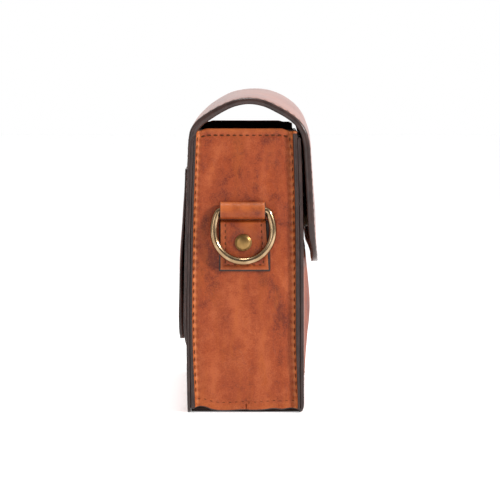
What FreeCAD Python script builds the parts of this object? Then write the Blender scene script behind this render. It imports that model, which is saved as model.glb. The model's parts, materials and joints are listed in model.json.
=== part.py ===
import FreeCAD, Part
import math
import os

# A flap-over leather satchel for drum sticks, in millimetres.
# +X runs along the length of the bag, +Y points to its back and +Z up; the bag stands on z = 0.
# The pieces are laid out about the middle of the body. FRAME_SHIFT then moves them all,
# so that the origin is the centre of the base of the bounding box.

# ---- body ----
LENGTH = 450.0               # of the front and back panels
BODY_TOP = 206.5             # top edge of the side gussets
FRONT_TOP = 200.0            # top edge of the front panel, under the flap's front shoulder
BACK_TOP = 200.0             # top edge of the back panel, where the flap takes over
FACE = 42.0                  # outer faces of the front and back panels, either side of the middle
FRONT_PANEL = 2.2            # leather thicknesses
BACK_PANEL = 1.9
GUSSET = 1.8
LINING = 0.6                 # lining cloth
RECESS = 4.0                 # depth of the side gussets inside the panels' ends
BASE_RECESS = 3.5            # height of the bottom gusset above the ground
CORNER = 9.0                 # radius of the panels' lower corners
LAP = 12.0                   # how far the bottom gusset turns up behind the side gussets

# ---- loose inner pieces ----
BOARD = 1.5                  # base board
DIVIDER = 2.4
DIVIDER_TOP = 165.0
DIVIDER_FRONT = 0.3          # front face of the divider
DIVIDER_SHORT = 3.4          # gap from each end of the divider to its side gusset
FIT = 0.2                    # play round the inner pieces

# ---- flap ----
FLAP_HALF = 226.0            # half the flap's length
FLAP_OUTER = 1.95            # its outer leather
FLAP_LINING = 1.95           # its lining leather
FLAP_CORNER = 30.0           # radius of its two front corners
LAYER_BOTTOM = 46.0          # the outer leather runs on down the back panel to here
# outer surface of the closed flap, from the back panel's top edge to the tip, as (y, z)
FLAP_LINE = [
    (43.95, 200.0),
    (42.5, 207.5),
    (37.4, 215.0),
    (27.0, 222.4),
    (11.0, 229.6),
    (-6.0, 232.6),
    (-22.0, 230.0),
    (-34.5, 221.5),
    (-42.8, 212.0),
    (-46.4, 201.0),
    (-48.7, 178.0),
    (-51.7, 142.0),
    (-54.0, 111.5),
]
REAR_FOLD = 12.0             # from the back panel's top, along the leather, to the rear fold
CROWN_FOLD = 6.0             # y of the fold near the top of the arch
SHOULDER_FOLD = -40.0        # y of the fold at the front shoulder
FOLD_GAP = 0.4               # between the stretches of the flap at a fold

# ---- slip pockets: half length, bottom, top ----
REAR_POCKET = (215.0, 53.0, 177.0)
FRONT_POCKET = (185.0, 20.0, 120.0)
REAR_ROOM = 5.3              # free depth inside
FRONT_ROOM = 4.5
POCKET_LEATHER = 2.2
POCKET_CORNER = 14.0

# ---- D rings ----
WIRE = 2.7                   # radius of the ring wire
RING_Y = 2.0                 # middle of the ring along the gusset's width
RING_Z = 147.4               # axis of the ring's straight bar
RING_LOW = 21.5              # radius of the ring's lower half, to the middle of the wire
RING_ARM = 31.0              # radius of its arms
RING_DROP = 14.3             # from the bar to the ring's widest line
RING_BEND = 3.2              # radius of the bends at the bar's ends
RING_REST = 3.4              # degrees that the hanging ring leans out over its tab
BAR_PLAY = 0.3               # between the bar and the leather round it
TAB_LEATHER = 1.8
LOOP_HALF = 14.9             # half width of the loop round the bar
TAB_HALF = 16.8              # half width of the sewn tab below it
TAB_BOTTOM = 104.4
TAB_CREASE = 138.6           # where the loop is pinched onto the tab

# ---- rivets ----
RIVET_Z = 124.1
RIVET_CAP = 6.2              # radius of the cap
RIVET_RISE = 2.3             # height of its dome
RIVET_POST = 1.6
RIVET_PLAY = 0.05

# ---- magnetic snaps ----
SNAP_X = 110.0
SNAP_Z = 140.0
SOCKET = 9.0                 # radius of the socket
SOCKET_DEPTH = 2.4
SOCKET_HOLE = 3.5            # radius of the hole that takes the stud's boss
SHELL = 0.5                  # sheet metal of the socket
STUD = 8.0                   # radius of the stud's plate
STUD_BOSS = 2.2
STUD_REACH = 1.1             # depth of the boss inside the socket
STUD_GAP = 0.3               # between the two plates

# ---- places that follow from the dimensions ----
HALF = LENGTH / 2
SIDE_FACE = HALF - RECESS
FRONT_IN = -FACE + FRONT_PANEL + LINING
BACK_IN = FACE - BACK_PANEL - LINING
FLOOR = BASE_RECESS + GUSSET
INNER_END = SIDE_FACE - GUSSET
LAYER_FACE = FACE + FLAP_OUTER
REAR_REACH = LAYER_FACE + REAR_ROOM + POCKET_LEATHER
FRAME_SHIFT = -(FLAP_LINE[-1][0] + REAR_REACH) / 2
BAR_X = SIDE_FACE + TAB_LEATHER + BAR_PLAY + WIRE
TAB_FACE = SIDE_FACE + 2 * TAB_LEATHER

PARTS = {}


def box(x0, x1, y0, y1, z0, z1):
    return Part.makeBox(x1 - x0, y1 - y0, z1 - z0, FreeCAD.Vector(x0, y0, z0))


def disc(radius, x, y0, y1, z):
    """A cylinder along Y from y0 to y1."""
    return Part.makeCylinder(radius, y1 - y0, FreeCAD.Vector(x, y0, z), FreeCAD.Vector(0, 1, 0))


def pin(radius, x0, x1, y, z):
    """A cylinder along X from x0 to x1."""
    return Part.makeCylinder(radius, x1 - x0, FreeCAD.Vector(x0, y, z), FreeCAD.Vector(1, 0, 0))


def joined(shapes):
    whole = shapes[0]
    for shape in shapes[1:]:
        whole = whole.fuse(shape)
    return whole.removeSplitter()


def mirrored(shape):
    return shape.mirror(FreeCAD.Vector(0, 0, 0), FreeCAD.Vector(1, 0, 0))


def add_pair(name, right):
    """Adds the right-hand piece and its mirror image on the left."""
    PARTS[name + "_right"] = right
    PARTS[name + "_left"] = mirrored(right)


def round_cornered(half, y0, y1, z0, z1, radius):
    """A plate across the bag, from y0 to y1, with its two lower corners rounded."""
    plate = box(-half, half, y0, y1, z0, z1)
    corners = [
        edge
        for edge in plate.Edges
        if abs(abs(edge.CenterOfMass.x) - half) < 0.001 and abs(edge.CenterOfMass.z - z0) < 0.001
        and abs(edge.CenterOfMass.y - (y0 + y1) / 2) < 0.001
    ]
    return plate.makeFillet(radius, corners)


def add_panels():
    front, back = -FACE + FRONT_PANEL, FACE - BACK_PANEL
    PARTS["front_panel"] = round_cornered(HALF, -FACE, front, 0, FRONT_TOP, CORNER)
    PARTS["front_lining"] = round_cornered(HALF, front, FRONT_IN, 0, FRONT_TOP, CORNER)
    PARTS["back_panel"] = round_cornered(HALF, back, FACE, 0, BACK_TOP, CORNER)
    PARTS["back_lining"] = round_cornered(HALF, BACK_IN, back, 0, BACK_TOP, CORNER)


def rivet_hole():
    return pin(RIVET_POST + RIVET_PLAY, INNER_END - 2, TAB_FACE + 1, RING_Y, RIVET_Z)


def add_gussets():
    """Channels whose flanges turn out to the panels' edges, sewn between the panels."""
    side = box(INNER_END, SIDE_FACE, FRONT_IN, BACK_IN, BASE_RECESS, BODY_TOP)
    front = box(INNER_END, HALF, FRONT_IN, FRONT_IN + GUSSET, CORNER, FRONT_TOP)
    back = box(INNER_END, HALF, BACK_IN - GUSSET, BACK_IN, CORNER, BACK_TOP)
    clear = box(INNER_END, HALF, BACK_IN - GUSSET, BACK_IN, BACK_TOP, BODY_TOP)
    side = side.cut(clear)
    add_pair("gusset", joined([side, front, back]).cut(rivet_hole()))

    plate = box(-INNER_END, INNER_END, FRONT_IN, BACK_IN, BASE_RECESS, FLOOR)
    front = box(-INNER_END, INNER_END, FRONT_IN, FRONT_IN + GUSSET, 0, FLOOR)
    back = box(-INNER_END, INNER_END, BACK_IN - GUSSET, BACK_IN, 0, FLOOR)
    lap = box(INNER_END - GUSSET, INNER_END, FRONT_IN, BACK_IN, BASE_RECESS, FLOOR + LAP)
    PARTS["gusset_bottom"] = joined([plate, front, back, lap, mirrored(lap)])


def add_linings():
    front, back = FRONT_IN + FIT, BACK_IN - FIT
    side = box(
        INNER_END - LINING,
        INNER_END,
        front,
        back - GUSSET,
        FLOOR + LAP + FIT,
        BODY_TOP,
    )
    add_pair("gusset_lining", side.cut(rivet_hole()))
    end = INNER_END - GUSSET - FIT
    top = FLOOR + BOARD + LINING
    PARTS["base_board"] = box(-end, end, front, back, FLOOR, FLOOR + BOARD)
    PARTS["bottom_lining"] = box(-end, end, front, back, FLOOR + BOARD, top)
    end = INNER_END - DIVIDER_SHORT
    PARTS["divider"] = box(-end, end, DIVIDER_FRONT, DIVIDER_FRONT + DIVIDER, top, DIVIDER_TOP)


def pocket(shape, face, room, way):
    """A slip pocket, open at its top, standing out from the plane y = face."""
    half, bottom, top = shape
    low, high = sorted((face, face + way * (room + POCKET_LEATHER)))
    outside = round_cornered(half, low, high, bottom, top, POCKET_CORNER)
    low, high = sorted((face, face + way * room))
    wall = POCKET_LEATHER
    inside = round_cornered(
        half - wall, low, high, bottom + wall, top + 1, POCKET_CORNER - wall
    )
    return outside.cut(inside)


def add_pockets():
    PARTS["rear_pocket"] = pocket(REAR_POCKET, LAYER_FACE, REAR_ROOM, 1)
    PARTS["front_pocket"] = pocket(FRONT_POCKET, -FACE, FRONT_ROOM, -1)


def flap_curve():
    curve = Part.BSplineCurve()
    curve.interpolate(Points=[FreeCAD.Vector(0, y, z) for y, z in FLAP_LINE])
    return curve


def place_at(curve, y):
    """The parameter where the curve passes y on its way forward."""
    low, high = curve.FirstParameter, curve.LastParameter
    for _ in range(60):
        middle = (low + high) / 2
        if curve.value(middle).y > y:
            low = middle
        else:
            high = middle
    return low


def outward(curve, u):
    """The unit vector square to the curve, away from the bag."""
    way = curve.tangent(u)[0]
    return FreeCAD.Vector(0, way.z, -way.y)


def inset(curve, start, end, depth):
    """A stretch of the curve moved this far inwards."""
    count = 21
    steps = [start + (end - start) * i / (count - 1) for i in range(count)]
    line = Part.BSplineCurve()
    line.interpolate(Points=[curve.value(u) - outward(curve, u) * depth for u in steps])
    return line.toShape()


def sheet(curve, start, end, shallow, deep, half, tail=()):
    """Leather between two depths under a stretch of the curve, and round the tail's corners."""
    outer = inset(curve, start, end, shallow)
    inner = inset(curve, start, end, deep)
    corners = [outer.Vertexes[0].Point, *tail, inner.Vertexes[0].Point]
    edges = [Part.makeLine(a, b) for a, b in zip(corners, corners[1:])]
    edges += [outer, inner, Part.makeLine(outer.Vertexes[-1].Point, inner.Vertexes[-1].Point)]
    face = Part.Face(Part.Wire(Part.__sortEdges__(edges)))
    face.translate(FreeCAD.Vector(-half, 0, 0))
    return face.extrude(FreeCAD.Vector(2 * half, 0, 0))


def flap_folds(curve):
    """The curve's parameters at the three folds."""
    rear = curve.parameterAtDistance(REAR_FOLD, curve.FirstParameter)
    return rear, place_at(curve, CROWN_FOLD), place_at(curve, SHOULDER_FOLD)


def add_flap():
    curve = flap_curve()
    rear, crown, shoulder = flap_folds(curve)
    before = [curve.parameterAtDistance(-FOLD_GAP / 2, u) for u in (rear, crown, shoulder)]
    after = [curve.parameterAtDistance(FOLD_GAP / 2, u) for u in (rear, crown, shoulder)]
    whole = FLAP_OUTER + FLAP_LINING

    first = curve.FirstParameter
    tail = [FreeCAD.Vector(0, y, LAYER_BOTTOM) for y in (LAYER_FACE, FACE)]
    PARTS["flap_back_layer"] = sheet(curve, first, before[0], 0, FLAP_OUTER, HALF, tail)
    PARTS["flap_root_lining"] = sheet(curve, first, before[0], FLAP_OUTER, whole, HALF)

    tip = FLAP_LINE[-1][1]
    outline = round_cornered(FLAP_HALF, -2 * FACE, 0, tip, 2 * BODY_TOP, FLAP_CORNER)
    stretches = {
        "rear": (after[0], before[1]),
        "crown": (after[1], before[2]),
        "front": (after[2], curve.LastParameter),
    }
    for name, (start, end) in stretches.items():
        outer = sheet(curve, start, end, 0, FLAP_OUTER, FLAP_HALF)
        lining = sheet(curve, start, end, FLAP_OUTER, whole, FLAP_HALF)
        if name == "front":
            outer = outer.common(outline)
            lining = lining.common(outline)
        PARTS["flap_" + name + "_outer"] = outer
        PARTS["flap_" + name + "_lining"] = lining


def add_snaps():
    """Socket and magnet on the front panel, stud on the flap's lining."""
    front = -FACE - SOCKET_DEPTH
    x, z = SNAP_X, SNAP_Z
    bore = disc(SOCKET_HOLE, x, front - 1, -FACE + 1, z)
    room = disc(SOCKET - SHELL, x, front + SHELL, -FACE + 1, z)
    core = disc(SOCKET_HOLE + SHELL, x, front, -FACE + 1, z)
    case = disc(SOCKET, x, front, -FACE, z)
    add_pair("snap_socket", case.cut(room.cut(core)).cut(bore))

    magnet = disc(SOCKET - SHELL, x, front + SHELL, -FACE, z)
    add_pair("snap_magnet", magnet.cut(core))

    plate = disc(STUD, x, front - 3 * SOCKET_DEPTH, front - STUD_GAP, z)
    pieces = plate.cut(PARTS["flap_front_lining"]).Solids
    inner = max(pieces, key=lambda piece: piece.CenterOfMass.y)
    boss = disc(STUD_BOSS, x, front - 2 * STUD_GAP, front + STUD_REACH, z)
    add_pair("snap_stud", joined([inner, boss]))


def ring_path():
    """The middle line of a ring whose bar lies along Y through the origin."""
    arm_middle = FreeCAD.Vector(0, RING_LOW - RING_ARM, -RING_DROP)
    side_reach = math.sqrt((RING_ARM - RING_BEND) ** 2 - (RING_DROP - RING_BEND) ** 2)
    bend_middle = FreeCAD.Vector(0, arm_middle.y + side_reach, -RING_BEND)
    toward = (bend_middle - arm_middle).normalize()
    bar_end = bend_middle + FreeCAD.Vector(0, 0, RING_BEND)
    on_bend = bend_middle + (toward + FreeCAD.Vector(0, 0, 1)).normalize() * RING_BEND
    meeting = bend_middle + toward * RING_BEND
    on_arm = arm_middle + (toward + FreeCAD.Vector(0, 1, 0)).normalize() * RING_ARM
    widest = FreeCAD.Vector(0, RING_LOW, -RING_DROP)
    lowest = FreeCAD.Vector(0, 0, -RING_DROP - RING_LOW)

    def other(point):
        return FreeCAD.Vector(0, -point.y, point.z)

    return [
        Part.makeLine(other(bar_end), bar_end),
        Part.Arc(bar_end, on_bend, meeting).toShape(),
        Part.Arc(meeting, on_arm, widest).toShape(),
        Part.Arc(widest, lowest, other(widest)).toShape(),
        Part.Arc(other(widest), other(on_arm), other(meeting)).toShape(),
        Part.Arc(other(meeting), other(on_bend), other(bar_end)).toShape(),
    ]


def rod_along(edge, radius):
    """A round rod along a straight or circular edge."""
    start = edge.valueAt(edge.FirstParameter)
    way = edge.tangentAt(edge.FirstParameter)
    end_face = Part.Face(Part.Wire(Part.makeCircle(radius, start, way)))
    if isinstance(edge.Curve, Part.Line):
        return end_face.extrude(edge.valueAt(edge.LastParameter) - start)
    middle = edge.Curve.Center
    axis = (start - middle).cross(way)
    turn = math.degrees(edge.Length / edge.Curve.Radius)
    return end_face.revolve(middle, axis, turn)


def add_rings():
    ring = joined([rod_along(edge, WIRE) for edge in ring_path()])
    ring.rotate(FreeCAD.Vector(0, 0, 0), FreeCAD.Vector(0, 1, 0), -RING_REST)
    ring.translate(FreeCAD.Vector(BAR_X, RING_Y, RING_Z))
    add_pair("d_ring", ring)


def add_tabs():
    """A strip folded round the ring's bar, with both ends sewn and riveted to the gusset."""
    radius = WIRE + BAR_PLAY + TAB_LEATHER
    start = FreeCAD.Vector(BAR_X, RING_Y - LOOP_HALF, RING_Z)
    along = FreeCAD.Vector(0, 1, 0)
    loop = Part.makeCylinder(radius, 2 * LOOP_HALF, start, along)
    lean = math.radians(25)
    corners = [
        FreeCAD.Vector(SIDE_FACE, start.y, RING_Z),
        FreeCAD.Vector(
            BAR_X + radius * math.cos(lean), start.y, RING_Z - radius * math.sin(lean)
        ),
        FreeCAD.Vector(TAB_FACE, start.y, TAB_CREASE),
        FreeCAD.Vector(SIDE_FACE, start.y, TAB_CREASE),
    ]
    throat = Part.Face(Part.makePolygon(corners + corners[:1]))
    throat = throat.extrude(FreeCAD.Vector(0, 2 * LOOP_HALF, 0))
    sewn = box(
        SIDE_FACE, TAB_FACE, RING_Y - TAB_HALF, RING_Y + TAB_HALF, TAB_BOTTOM, TAB_CREASE
    )
    bar_room = Part.makeCylinder(WIRE + BAR_PLAY, 2 * LOOP_HALF, start, along)
    tab = joined([loop, throat, sewn]).cut(bar_room)
    add_pair("ring_tab", tab.cut(rivet_hole()))


def rivet_cap(x, way):
    """A domed cap with its flat side on the plane at x, rising along X."""
    ball = (RIVET_CAP ** 2 + RIVET_RISE ** 2) / (2 * RIVET_RISE)
    middle = FreeCAD.Vector(x + way * (RIVET_RISE - ball), RING_Y, RIVET_Z)
    low, high = sorted((x, x + way * (RIVET_RISE + 1)))
    return Part.makeSphere(ball, middle).common(pin(RIVET_CAP + 1, low, high, RING_Y, RIVET_Z))


def add_rivets():
    lined_face = INNER_END - LINING
    add_pair("rivet_cap", rivet_cap(TAB_FACE, 1))
    post = pin(RIVET_POST, lined_face - 0.2, TAB_FACE, RING_Y, RIVET_Z)
    add_pair("rivet_post", joined([rivet_cap(lined_face, -1), post]))


def write():
    os.makedirs("parts", exist_ok=True)
    for name, shape in PARTS.items():
        shape.translate(FreeCAD.Vector(0, FRAME_SHIFT, 0))
        shape.exportStep("parts/" + name + ".step")


add_panels()
add_gussets()
add_linings()
add_pockets()
add_flap()
add_snaps()
add_rings()
add_tabs()
add_rivets()
write()
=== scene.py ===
import json
import math

import bmesh
import bpy
import numpy as np
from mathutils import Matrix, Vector


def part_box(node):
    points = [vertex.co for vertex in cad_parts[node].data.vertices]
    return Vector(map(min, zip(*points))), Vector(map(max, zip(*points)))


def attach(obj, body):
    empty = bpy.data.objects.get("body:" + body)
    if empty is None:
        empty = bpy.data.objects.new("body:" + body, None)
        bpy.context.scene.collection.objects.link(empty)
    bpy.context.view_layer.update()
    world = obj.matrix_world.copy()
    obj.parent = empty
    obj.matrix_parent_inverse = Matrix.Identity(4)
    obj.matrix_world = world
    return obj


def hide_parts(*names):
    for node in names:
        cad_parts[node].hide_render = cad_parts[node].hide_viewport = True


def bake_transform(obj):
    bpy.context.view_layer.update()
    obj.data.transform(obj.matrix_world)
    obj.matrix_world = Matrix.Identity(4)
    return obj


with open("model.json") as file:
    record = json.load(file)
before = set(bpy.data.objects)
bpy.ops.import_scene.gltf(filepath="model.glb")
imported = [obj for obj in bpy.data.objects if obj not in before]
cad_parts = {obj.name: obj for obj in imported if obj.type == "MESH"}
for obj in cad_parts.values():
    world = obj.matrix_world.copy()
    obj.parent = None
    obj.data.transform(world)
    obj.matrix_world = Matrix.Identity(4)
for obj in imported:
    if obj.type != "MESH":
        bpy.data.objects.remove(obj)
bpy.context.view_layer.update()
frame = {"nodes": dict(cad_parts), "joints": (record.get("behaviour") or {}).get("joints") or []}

# The looks of a leather flap-over bag. Shapes are worked out in millimetres in the bag's own axes:
# x along its length, y from the middle of the body to the back, z up. Built meshes are in metres.

MM = 0.001
ENDS = {"right": 1, "left": -1}


def box_mm(node):
    """The lowest and highest corner of a CAD node, in millimetres."""
    low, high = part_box(node)
    return np.array(low) / MM, np.array(high) / MM


# ---- places taken from the frame ----
FRONT_LOW, FRONT_HIGH = box_mm("front_panel")
BACK_HIGH = box_mm("back_panel")[1]
GUSSET_TOP = box_mm("gusset_right")[1][2]
LAYER_BOTTOM = box_mm("flap_back_layer")[0][2]
REAR_POCKET = box_mm("rear_pocket")
FRONT_POCKET = box_mm("front_pocket")
TAB_LOW, TAB_HIGH = box_mm("ring_tab_right")
CAP_LOW, CAP_HIGH = box_mm("rivet_cap_right")
FLAP_HALF = box_mm("flap_front_outer")[1][0]

MIDDLE_Y = (FRONT_LOW[1] + BACK_HIGH[1]) / 2      # middle of the body in the frame
FACE = (BACK_HIGH[1] - FRONT_LOW[1]) / 2          # from there to either panel's outer face
HALF = FRONT_HIGH[0]                              # half the length of the panels
PANEL_TOP = BACK_HIGH[2]
SIDE = TAB_LOW[0]                                 # outer face of the side gusset

# ---- leather ----
PANEL = 2.2
BACK_PANEL = 1.9
LINING = 0.6
GUSSET = 1.8
LAYER = 1.95
FLAP = 4.7                   # outer leather and lining leather together
FRONT_INSIDE = -FACE + PANEL + LINING + GUSSET
BACK_INSIDE = FACE - BACK_PANEL - LINING - GUSSET
PANEL_CORNER = 7.0
FLAP_CORNER = 30.0
FRONT_BELLY = 1.6            # how far the front panel swells out at its middle
BACK_BELLY = 1.2
EDGE_STEPS = 6               # facets round a leather edge
SEAM_INSET = 3.6             # from an edge to its row of stitches
SEAM_DIP = 0.35              # how deep a row of stitches is pulled in
PITCH = 5.5                  # from one stitch to the next

# Outer surface of the flap from the foot of the layer sewn down the back to its tip, as (y, z):
# at the bag's ends, and at the middle of its length, where it stands higher.
FLAP_AT_ENDS = [
    (43.3, 48.5), (44.8, 55.0), (44.9, 100.0), (43.6, 150.0), (42.5, 185.0), (41.7, 200.0),
    (40.3, 206.5), (36.0, 212.6), (29.0, 218.0), (20.0, 223.2), (9.4, 227.6), (-2.2, 229.4),
    (-13.6, 227.6), (-24.0, 222.9), (-33.4, 217.4), (-40.2, 211.4), (-44.2, 204.6), (-46.3, 196.0),
    (-47.1, 186.0), (-48.0, 171.0), (-49.1, 150.0), (-50.2, 130.0), (-52.0, 110.0),
]
FLAP_AT_MIDDLE = [
    (43.6, 48.0), (45.2, 55.0), (45.6, 100.0), (44.6, 150.0), (43.0, 185.0), (42.2, 198.0),
    (41.0, 205.0), (37.6, 212.0), (31.6, 219.2), (22.4, 226.2), (10.6, 231.8), (-2.6, 234.2),
    (-15.6, 233.4), (-27.4, 229.4), (-36.6, 223.0), (-42.8, 215.2), (-46.4, 206.6), (-48.2, 197.0),
    (-49.0, 186.0), (-50.0, 171.0), (-51.4, 150.0), (-52.4, 130.0), (-53.6, 109.6),
]


# ======================= numbers =======================

def run_of(line):
    """The distance along a line of points to each of them."""
    return np.r_[0, np.cumsum(np.linalg.norm(np.diff(line, axis=0), axis=1))]


def smooth_line(points, spacing):
    """Points this far apart along a smooth curve through the given ones."""
    points = np.array(points, float)
    at = np.r_[0, np.cumsum(np.linalg.norm(np.diff(points, axis=0), axis=1) ** 0.6)]
    slopes = np.gradient(points, at, axis=0)
    fine = np.linspace(0, at[-1], 60 * len(points))
    piece = np.clip(np.searchsorted(at, fine, side="right") - 1, 0, len(at) - 2)
    length = (at[piece + 1] - at[piece])[:, None]
    t = (fine - at[piece])[:, None] / length
    curve = (
        (2 * t**3 - 3 * t**2 + 1) * points[piece]
        + (t**3 - 2 * t**2 + t) * length * slopes[piece]
        + (3 * t**2 - 2 * t**3) * points[piece + 1]
        + (t**3 - t**2) * length * slopes[piece + 1]
    )
    run = run_of(curve)
    even = np.linspace(0, run[-1], max(2, int(round(run[-1] / spacing)) + 1))
    return np.stack([np.interp(even, run, curve[:, k]) for k in range(curve.shape[1])], axis=1)


def fill_in(points, spacing=2.0):
    """Points about this far apart along straight runs between the given ones."""
    line = []
    for a, b in zip(np.array(points[:-1]), np.array(points[1:])):
        count = max(1, int(np.linalg.norm(b - a) / spacing))
        line += [a + (b - a) * k / count for k in range(count)]
    return np.array(line + [points[-1]])


def swell(a, b, length, seed, waves=12):
    """A smooth random height over (a, b), about -1 to 1, with humps about this long."""
    random = np.random.default_rng(seed)
    total = np.zeros(np.broadcast(a, b).shape)
    for _ in range(waves):
        way = random.uniform(0, 2 * math.pi)
        rate = 2 * math.pi / (length * random.uniform(0.7, 1.6))
        start = random.uniform(0, 2 * math.pi)
        total = total + np.sin(rate * (a * math.cos(way) + b * math.sin(way)) + start)
    return total / math.sqrt(2 * waves)


def steps(low, high, coarse, fine, near, reach=4.0):
    """Values from low to high that lie closer together near the given places."""
    values = [low]
    while values[-1] < high:
        close = any(abs(values[-1] - place) < reach for place in near)
        values.append(values[-1] + (fine if close else coarse))
    values = np.array(values)
    return low + (values - low) * (high - low) / (values[-1] - low)


def ease(t):
    t = np.clip(t, 0, 1)
    return t * t * (3 - 2 * t)


def groove(distance, width=0.9):
    return np.exp(-((distance / width) ** 2))


def points_of(*parts):
    """Points from their coordinates, each an array or one number."""
    return np.stack(np.broadcast_arrays(*parts), axis=-1)


def over(rows, cols):
    """The two grids of values over every row and column."""
    return np.meshgrid(rows, cols, indexing="ij")


# ======================= the body's stance =======================

STANCE_HEIGHTS = [0, 60, 130, 200]
BACK_STANCE = np.polyfit(STANCE_HEIGHTS, [0.6, 1.5, 0.8, -1.7], 3)
FRONT_STANCE = np.polyfit(STANCE_HEIGHTS, [0.4, 0.2, -0.2, -2.2], 3)
BELLY_HEIGHT, BELLY_REACH = 90, 112
TUCK_HEIGHT = 7.0            # the front panel's foot turns in over this height
TUCK = 3.0                   # by this much
TUCK_START = 30.0            # and only this far forward of the middle


def stand(points, belly=0.0):
    """Body points as they stand: wider low down than at the mouth, and bellied out by so much."""
    x, y, z = points[..., 0], points[..., 1], points[..., 2]
    lean = np.where(y > 0, y * np.polyval(BACK_STANCE, z), y * np.polyval(FRONT_STANCE, z)) / FACE
    along = np.clip(1 - (x / HALF) ** 2, 0, 1)
    tall = np.clip(1 - ((z - BELLY_HEIGHT) / BELLY_REACH) ** 2, 0, 1)
    out = belly * along * tall * np.sign(y)
    low = np.clip(1 - z / TUCK_HEIGHT, 0, 1)
    tuck = TUCK * (1 - np.sqrt(1 - low**2)) * np.clip((-y - TUCK_START) / (FACE - TUCK_START), 0, 1)
    return points_of(x, y + lean + out + tuck, z)


# ======================= meshes =======================

def build(name, points, faces, materials, slots=None, hide=None, wear=None, mirrored=False):
    """A smooth-shaded object from body points in millimetres."""
    points = np.asarray(points, float).reshape(-1, 3).copy()
    if mirrored:
        points[:, 0] *= -1
    mesh = bpy.data.meshes.new(name)
    placed = (points + np.array([0, MIDDLE_Y, 0])) * MM
    mesh.from_pydata(placed.tolist(), [], [list(map(int, f)) for f in faces])
    for material in materials:
        mesh.materials.append(material)
    if slots is not None:
        mesh.polygons.foreach_set("material_index", np.asarray(slots, np.int32))
    mesh.polygons.foreach_set("use_smooth", np.ones(len(mesh.polygons), bool))
    place = points if hide is None else np.asarray(hide, float).reshape(-1, 3)
    layer = mesh.attributes.new("hide", "FLOAT_VECTOR", "POINT")
    layer.data.foreach_set("vector", place.astype(np.float32).ravel())
    # A per-point amount of lightening: real wear, and painted highlights where light catches the
    # leather.
    worn_and_lit = np.zeros(len(points)) if wear is None else np.asarray(wear, float).ravel()
    layer = mesh.attributes.new("wear", "FLOAT", "POINT")
    layer.data.foreach_set("value", worn_and_lit.astype(np.float32))
    if mirrored:
        mesh.flip_normals()
    mesh.update()
    thing = bpy.data.objects.new(name, mesh)
    bpy.context.scene.collection.objects.link(thing)
    return thing


def keep(pieces, body, slot, *nodes):
    """The pieces ride on a body, and the CAD nodes are hidden. slot is not used."""
    for piece in pieces:
        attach(piece, body)
    if nodes:
        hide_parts(*nodes)


def grid_faces(rows, cols, start=0):
    r, c = over(np.arange(rows - 1), np.arange(cols - 1))
    first = (r * cols + c).ravel() + start
    return np.stack([first, first + 1, first + cols + 1, first + cols], axis=1)


def band_faces(first, second):
    """Faces between two closed rings of point numbers."""
    return np.stack([first, np.roll(first, -1), np.roll(second, -1), second], axis=1)


def border(rows, cols):
    """Row and column of each point round a grid's edge, in order."""
    r = np.r_[np.zeros(cols), np.arange(1, rows), np.full(cols - 1, rows - 1),
              np.arange(rows - 2, 0, -1)]
    c = np.r_[np.arange(cols), np.full(rows - 1, cols - 1), np.arange(cols - 2, -1, -1),
              np.zeros(rows - 2)]
    return r.astype(int), c.astype(int)


def normals_of(points):
    """Unit normals of a grid of points, along rows crossed with columns."""
    normal = np.cross(np.gradient(points, axis=1), np.gradient(points, axis=0))
    return normal / np.linalg.norm(normal, axis=-1, keepdims=True)


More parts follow.
